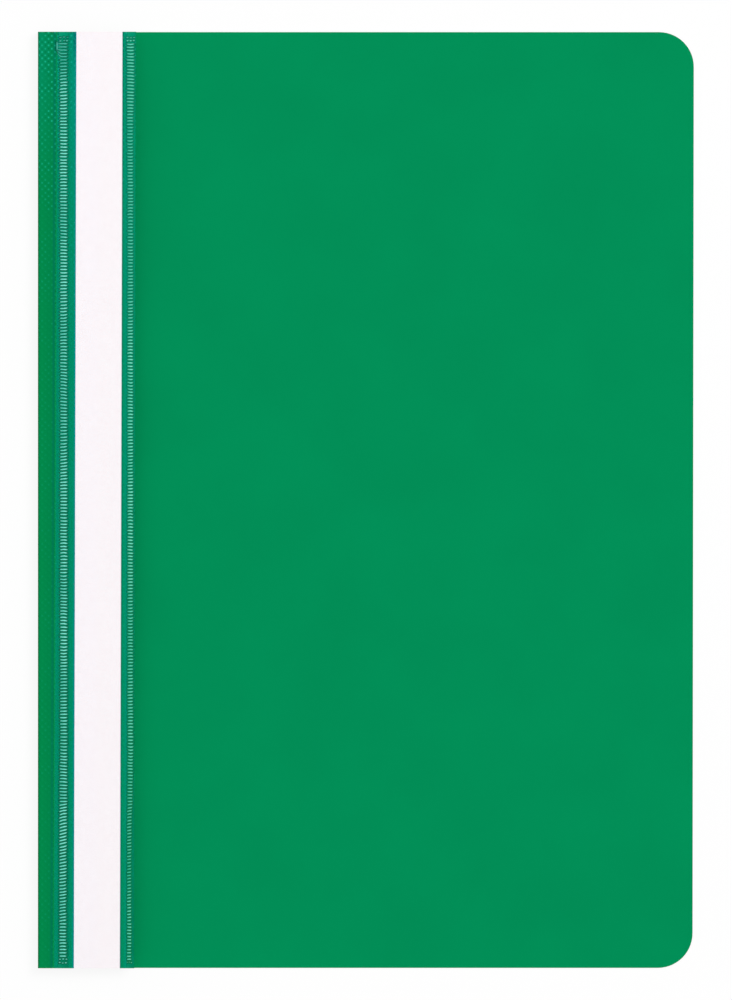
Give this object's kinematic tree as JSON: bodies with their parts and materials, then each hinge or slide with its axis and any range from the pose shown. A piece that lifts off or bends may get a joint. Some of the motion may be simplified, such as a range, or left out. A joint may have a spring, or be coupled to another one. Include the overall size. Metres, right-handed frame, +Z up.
{
  "type": "fastener folder",
  "caption": "A4 report folder with a coloured back, a clear front cover, a label strip in a welded pocket and a two-prong filing fastener inside.",
  "frame": {"origin": "middle of the closed folder's footprint, on the surface that its back cover lies on", "axes": "+X from the spine to the free edge, +Y up the page, +Z up through the front cover"},
  "size_m": [0.217, 0.31, 0.0054],
  "materials": {
    "coloured_sheet": "grained green polypropylene sheet",
    "clear_film": "clear polypropylene film",
    "label_paper": "white uncoated paper",
    "steel_strip": "bright plated steel strip",
    "white_plastic": "moulded white plastic"
  },
  "bodies": {
    "back": {"back_cover": "coloured_sheet", "filing_strip": "coloured_sheet", "fastener_base": "steel_strip"},
    "spine": {"spine_panel": "coloured_sheet"},
    "flap": {"front_flap": "coloured_sheet", "spine_side_weld": "clear_film", "label_window": "clear_film", "cover_side_weld": "clear_film"},
    "cover": {"front_cover": "clear_film"},
    "label": {"label_strip": "label_paper"},
    "bar": {"compressor_bar": "white_plastic"},
    "top_lock": {"upper_lock": "white_plastic"},
    "bottom_lock": {"lower_lock": "white_plastic"},
    "top_prong": {"upper_prong": "steel_strip"},
    "bottom_prong": {"lower_prong": "steel_strip"}
  },
  "joints": [
    {"name": "spine_fold", "type": "hinge", "parent": "back", "child": "spine", "pos_m": [-0.1085, 0, 0], "axis": [0, -1, 0], "range_deg": [0, 90]},
    {"name": "flap_fold", "type": "hinge", "parent": "spine", "child": "flap", "pos_m": [-0.1085, 0, 0.005], "axis": [0, -1, 0], "range_deg": [0, 90]},
    {"name": "cover_flex", "type": "hinge", "parent": "flap", "child": "cover", "pos_m": [-0.0761, 0, 0.00545], "axis": [0, -1, 0], "range_deg": [0, 170]},
    {"name": "label_slide", "type": "slide", "parent": "flap", "child": "label", "axis": [0, 1, 0], "range_m": [-0.32, 0.32]},
    {"name": "upper_prong_bend", "type": "hinge", "parent": "back", "child": "top_prong", "pos_m": [-0.0945, 0.0403, 0.00205], "axis": [-1, 0, 0], "range_deg": [0, 90]},
    {"name": "lower_prong_bend", "type": "hinge", "parent": "back", "child": "bottom_prong", "pos_m": [-0.0945, -0.0403, 0.00205], "axis": [1, 0, 0], "range_deg": [0, 90]},
    {"name": "bar_lift", "type": "slide", "parent": "back", "child": "bar", "axis": [0, 0, 1], "range_m": [0, 0.03]},
    {"name": "upper_lock_slide", "type": "slide", "parent": "bar", "child": "top_lock", "axis": [0, 1, 0], "range_m": [0, 0.026]},
    {"name": "lower_lock_slide", "type": "slide", "parent": "bar", "child": "bottom_lock", "axis": [0, -1, 0], "range_m": [0, 0.026]}
  ],
  "couplings": [
    {"joint": "flap_fold", "follows": "spine_fold", "ratio": 1},
    {"joint": "upper_prong_bend", "follows": "spine_fold", "ratio": 1},
    {"joint": "lower_prong_bend", "follows": "spine_fold", "ratio": 1},
    {"joint": "bar_lift", "follows": "spine_fold", "m_per_rad": 0.005}
  ]
}
